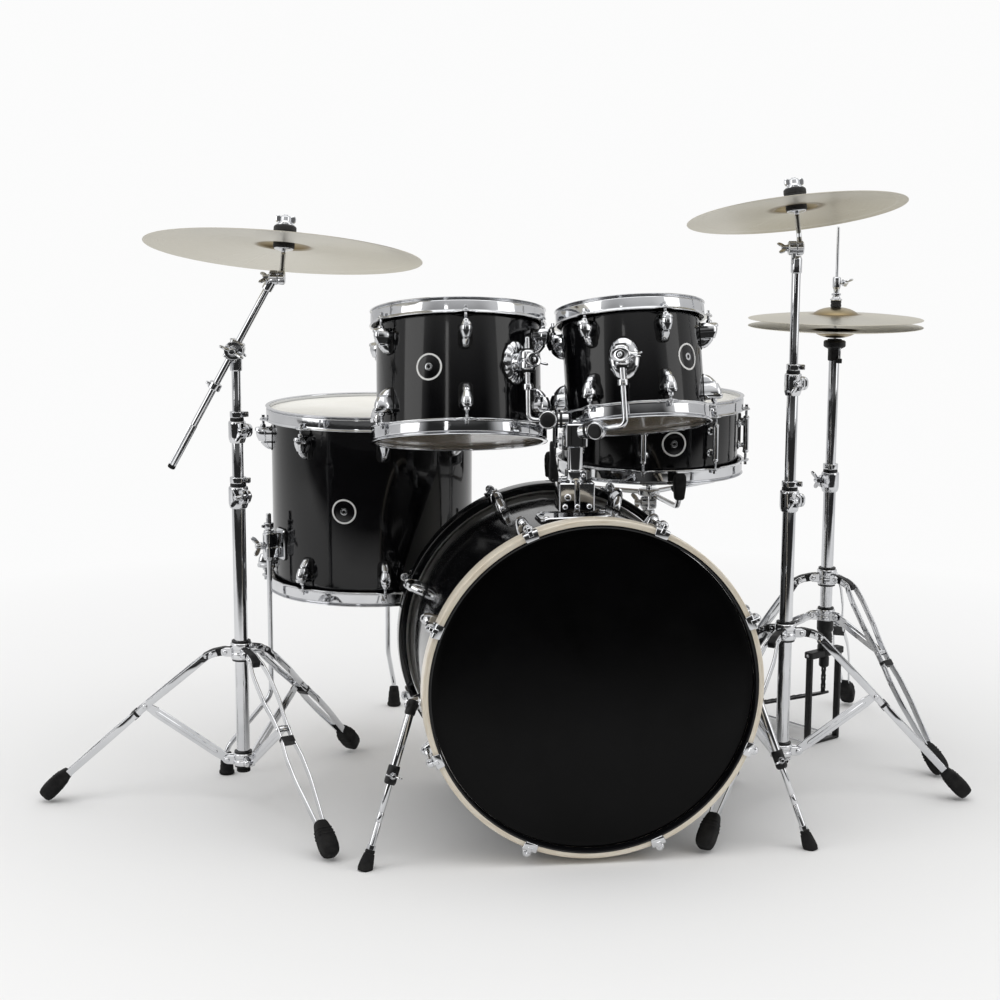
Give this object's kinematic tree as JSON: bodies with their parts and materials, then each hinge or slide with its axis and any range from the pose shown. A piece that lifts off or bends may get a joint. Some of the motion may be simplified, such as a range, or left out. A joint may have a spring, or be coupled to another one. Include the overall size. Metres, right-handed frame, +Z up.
{
  "type": "acoustic drum kit",
  "caption": "Acoustic drum kit with bass drum, rack toms, floor tom, snare, hi-hat, ride and crash on adjustable folding stands.",
  "frame": {"origin": "on the floor, under the middle of the whole kit's box", "axes": "+X to the right of a viewer who faces the front of the kit, +Y towards the player, +Z up"},
  "size_m": [1.8003, 1.0957, 1.1857],
  "materials": {
    "lacquer_black": "gloss black wrap",
    "hoop_natural": "pale satin maple",
    "head_black": "gloss black film",
    "head_coated": "coated translucent white film",
    "chrome": "polished chrome",
    "black_metal": "black powder coat",
    "rubber": "matt black rubber",
    "felt": "dark grey felt",
    "bronze": "lathed bronze, brilliant",
    "badge_white": "plain ring badge"
  },
  "bodies": {
    "kit": {"bass_shell": "lacquer_black", "bass_hoop_front": "hoop_natural", "bass_hoop_batter": "lacquer_black", "bass_head_front": "head_black", "bass_head_batter": "head_coated", "bass_lugs": "chrome", "bass_claws": "chrome", "bass_brackets": "chrome", "floor_tom_shell": "lacquer_black", "floor_tom_hoops": "chrome", "floor_tom_heads": "head_coated", "floor_tom_lugs": "chrome", "snare_stand_base": "chrome", "hihat_stand_base": "chrome", "straight_stand_base": "chrome", "boom_base_tube": "chrome"},
    "spur_left": {"spur_left": "chrome"},
    "spur_right": {"spur_right": "chrome"},
    "tom_post": {"tom_post": "chrome"},
    "tom_arm_left": {"tom_arm_left": "chrome"},
    "tom_arm_right": {"tom_arm_right": "chrome"},
    "tom12": {"tom12_shell": "lacquer_black", "tom12_hoops": "chrome", "tom12_heads": "head_coated", "tom12_lugs": "chrome"},
    "tom10": {"tom10_shell": "lacquer_black", "tom10_hoops": "chrome", "tom10_heads": "head_coated", "tom10_lugs": "chrome"},
    "floor_tom_leg_1": {"floor_tom_leg_1": "chrome"},
    "floor_tom_leg_2": {"floor_tom_leg_2": "chrome"},
    "floor_tom_leg_3": {"floor_tom_leg_3": "chrome"},
    "snare_post": {"snare_stand_post": "chrome"},
    "snare": {"snare_basket": "chrome", "snare_shell": "lacquer_black", "snare_hoops": "chrome", "snare_heads": "head_coated", "snare_lugs": "chrome"},
    "strainer_lever": {"snare_strainer_lever": "chrome"},
    "hihat_upper_tube": {"hihat_upper_tube": "chrome"},
    "hihat_bottom": {"hihat_bottom_cymbal": "bronze"},
    "hihat_rod": {"hihat_pull_rod": "chrome"},
    "hihat_top": {"hihat_top_cymbal": "bronze"},
    "hihat_pedal": {"hihat_footboard": "black_metal"},
    "boom_collar": {"boom_collar": "chrome"},
    "boom_leg_1": {"boom_leg_1": "chrome"},
    "boom_leg_2": {"boom_leg_2": "chrome"},
    "boom_leg_3": {"boom_leg_3": "chrome"},
    "boom_brace_1": {"boom_brace_1": "chrome"},
    "boom_brace_2": {"boom_brace_2": "chrome"},
    "boom_brace_3": {"boom_brace_3": "chrome"},
    "boom_mid_tube": {"boom_mid_tube": "chrome"},
    "boom_top_tube": {"boom_top_tube": "chrome"},
    "boom_arm": {"boom_arm": "chrome"},
    "boom_tilter": {"boom_tilter": "chrome"},
    "ride": {"ride_cymbal": "bronze"},
    "straight_mid_tube": {"straight_mid_tube": "chrome"},
    "straight_top_tube": {"straight_top_tube": "chrome"},
    "straight_tilter": {"straight_tilter": "chrome"},
    "crash": {"crash_cymbal": "bronze"}
  },
  "joints": [
    {"name": "spur_left_fold", "type": "hinge", "parent": "kit", "child": "spur_left", "pos_m": [-0.16929, -0.45852, 0.27247], "axis": [0.9416, 0.1293, -0.3109], "range_deg": [0, 99.7]},
    {"name": "spur_right_fold", "type": "hinge", "parent": "kit", "child": "spur_right", "pos_m": [0.44425, -0.3701, 0.27247], "axis": [0.9398, 0.1418, 0.3109], "range_deg": [0, 48]},
    {"name": "tom_post_height", "type": "slide", "parent": "kit", "child": "tom_post", "axis": [0, 0, 1], "range_m": [0, 0.05]},
    {"name": "tom_arm_left_tilt", "type": "hinge", "parent": "tom_post", "child": "tom_arm_left", "pos_m": [0.0329, -0.30456, 0.755], "axis": [0.9985, -0.0459, 0.0285], "range_deg": [-8, 8]},
    {"name": "tom12_height", "type": "slide", "parent": "tom_arm_left", "child": "tom12", "axis": [-0.017, 0.2351, 0.9718], "range_m": [-0.02, 0.03]},
    {"name": "tom_arm_right_tilt", "type": "hinge", "parent": "tom_post", "child": "tom_arm_right", "pos_m": [0.20271, -0.36666, 0.755], "axis": [-0.8336, 0.5188, -0.1895], "range_deg": [-2.8, 6]},
    {"name": "tom10_height", "type": "slide", "parent": "tom_arm_right", "child": "tom10", "axis": [-0.0607, 0.255, 0.965], "range_m": [0, 0.03]},
    {"name": "floor_tom_leg_1_height", "type": "slide", "parent": "kit", "child": "floor_tom_leg_1", "axis": [0, 0, 1], "range_m": [-0.03, 0.08]},
    {"name": "floor_tom_leg_2_height", "type": "slide", "parent": "kit", "child": "floor_tom_leg_2", "axis": [0, 0, 1], "range_m": [-0.03, 0.08]},
    {"name": "floor_tom_leg_3_height", "type": "slide", "parent": "kit", "child": "floor_tom_leg_3", "axis": [0, 0, 1], "range_m": [-0.03, 0.08]},
    {"name": "snare_stand_height", "type": "slide", "parent": "kit", "child": "snare_post", "axis": [0, 0, 1], "range_m": [0, 0.06]},
    {"name": "snare_basket_tilt", "type": "hinge", "parent": "snare_post", "child": "snare", "pos_m": [0.288, 0.178, 0.524], "axis": [1, 0, 0], "range_deg": [-5, 0.7]},
    {"name": "snare_strainer_throw", "type": "hinge", "parent": "snare", "child": "strainer_lever", "pos_m": [0.4887, 0.2299, 0.68615], "axis": [-0.2504, 0.9681, 0], "range_deg": [-75, 0]},
    {"name": "hihat_height", "type": "slide", "parent": "kit", "child": "hihat_upper_tube", "axis": [0, 0, 1], "range_m": [-0.1, 0]},
    {"name": "hihat_bottom_spin", "type": "hinge", "parent": "hihat_upper_tube", "child": "hihat_bottom", "pos_m": [0.6688, 0.2366, 0.882], "axis": [0, 0, 1], "continuous": true},
    {"name": "hihat_rod_lift", "type": "slide", "parent": "kit", "child": "hihat_rod", "axis": [0, 0, 1], "range_m": [-0.0122, 0]},
    {"name": "hihat_top_spin", "type": "hinge", "parent": "hihat_rod", "child": "hihat_top", "pos_m": [0.6688, 0.2366, 0.898], "axis": [0, 0, 1], "continuous": true},
    {"name": "hihat_pedal_press", "type": "hinge", "parent": "kit", "child": "hihat_pedal", "pos_m": [0.50911, 0.42895, 0.02], "axis": [-0.7694, -0.6388, 0], "range_deg": [-2.8, 0], "stiffness_Nm_per_rad": 40, "springref_deg": 12.61},
    {"name": "boom_collar_slide", "type": "slide", "parent": "kit", "child": "boom_collar", "axis": [0, 0, 1], "range_m": [0, 0.1682]},
    {"name": "boom_leg_1_fold", "type": "hinge", "parent": "boom_collar", "child": "boom_leg_1", "pos_m": [-0.5355, -0.17082, 0.296], "axis": [0.0175, -0.9998, 0], "range_deg": [0, 44.5]},
    {"name": "boom_brace_1_fold", "type": "hinge", "parent": "kit", "child": "boom_brace_1", "pos_m": [-0.5355, -0.17082, 0.084], "axis": [0.0175, -0.9998, 0], "range_deg": [-44.5, 0]},
    {"name": "boom_leg_2_fold", "type": "hinge", "parent": "boom_collar", "child": "boom_leg_2", "pos_m": [-0.49005, -0.19601, 0.296], "axis": [0.8572, 0.515, 0], "range_deg": [0, 44.5]},
    {"name": "boom_brace_2_fold", "type": "hinge", "parent": "kit", "child": "boom_brace_2", "pos_m": [-0.49005, -0.19601, 0.084], "axis": [0.8572, 0.515, 0], "range_deg": [-44.5, 0]},
    {"name": "boom_leg_3_fold", "type": "hinge", "parent": "boom_collar", "child": "boom_leg_3", "pos_m": [-0.49096, -0.14406, 0.296], "axis": [-0.8746, 0.4848, 0], "range_deg": [0, 44.5]},
    {"name": "boom_brace_3_fold", "type": "hinge", "parent": "kit", "child": "boom_brace_3", "pos_m": [-0.49096, -0.14406, 0.084], "axis": [-0.8746, 0.4848, 0], "range_deg": [-44.5, 0]},
    {"name": "boom_mid_height", "type": "slide", "parent": "kit", "child": "boom_mid_tube", "axis": [0, 0, 1], "range_m": [-0.04, 0.15]},
    {"name": "boom_top_height", "type": "slide", "parent": "boom_mid_tube", "child": "boom_top_tube", "axis": [0, 0, 1], "range_m": [-0.03, 0.12]},
    {"name": "boom_arm_tilt", "type": "hinge", "parent": "boom_top_tube", "child": "boom_arm", "pos_m": [-0.5055, -0.1913, 0.868], "axis": [0, 1, 0], "range_deg": [-16, 10]},
    {"name": "ride_tilter_tilt", "type": "hinge", "parent": "boom_arm", "child": "boom_tilter", "pos_m": [-0.42231, -0.1913, 1.00094], "axis": [1, 0, 0], "range_deg": [-12, 12]},
    {"name": "ride_spin", "type": "hinge", "parent": "boom_tilter", "child": "ride", "pos_m": [-0.41631, -0.1913, 1.00094], "axis": [0.0633, 0.1938, 0.979], "continuous": true},
    {"name": "straight_mid_height", "type": "slide", "parent": "kit", "child": "straight_mid_tube", "axis": [0, 0, 1], "range_m": [-0.04, 0.15]},
    {"name": "straight_top_height", "type": "slide", "parent": "straight_mid_tube", "child": "straight_top_tube", "axis": [0, 0, 1], "range_m": [-0.04, 0.15]},
    {"name": "crash_tilter_tilt", "type": "hinge", "parent": "straight_top_tube", "child": "straight_tilter", "pos_m": [0.5283, -0.1391, 1.056], "axis": [1, 0, 0], "range_deg": [-20, 15]},
    {"name": "crash_spin", "type": "hinge", "parent": "straight_tilter", "child": "crash", "pos_m": [0.5343, -0.1391, 1.056], "axis": [-0.0957, 0.195, 0.9761], "continuous": true}
  ],
  "couplings": [
    {"joint": "hihat_rod_lift", "follows": "hihat_pedal_press", "m_per_rad": 0.25},
    {"joint": "boom_leg_1_fold", "follows": "boom_collar_slide", "rad_per_m": 4.5662},
    {"joint": "boom_brace_1_fold", "follows": "boom_collar_slide", "rad_per_m": -4.5662},
    {"joint": "boom_leg_2_fold", "follows": "boom_collar_slide", "rad_per_m": 4.5662},
    {"joint": "boom_brace_2_fold", "follows": "boom_collar_slide", "rad_per_m": -4.5662},
    {"joint": "boom_leg_3_fold", "follows": "boom_collar_slide", "rad_per_m": 4.5662},
    {"joint": "boom_brace_3_fold", "follows": "boom_collar_slide", "rad_per_m": -4.5662}
  ]
}
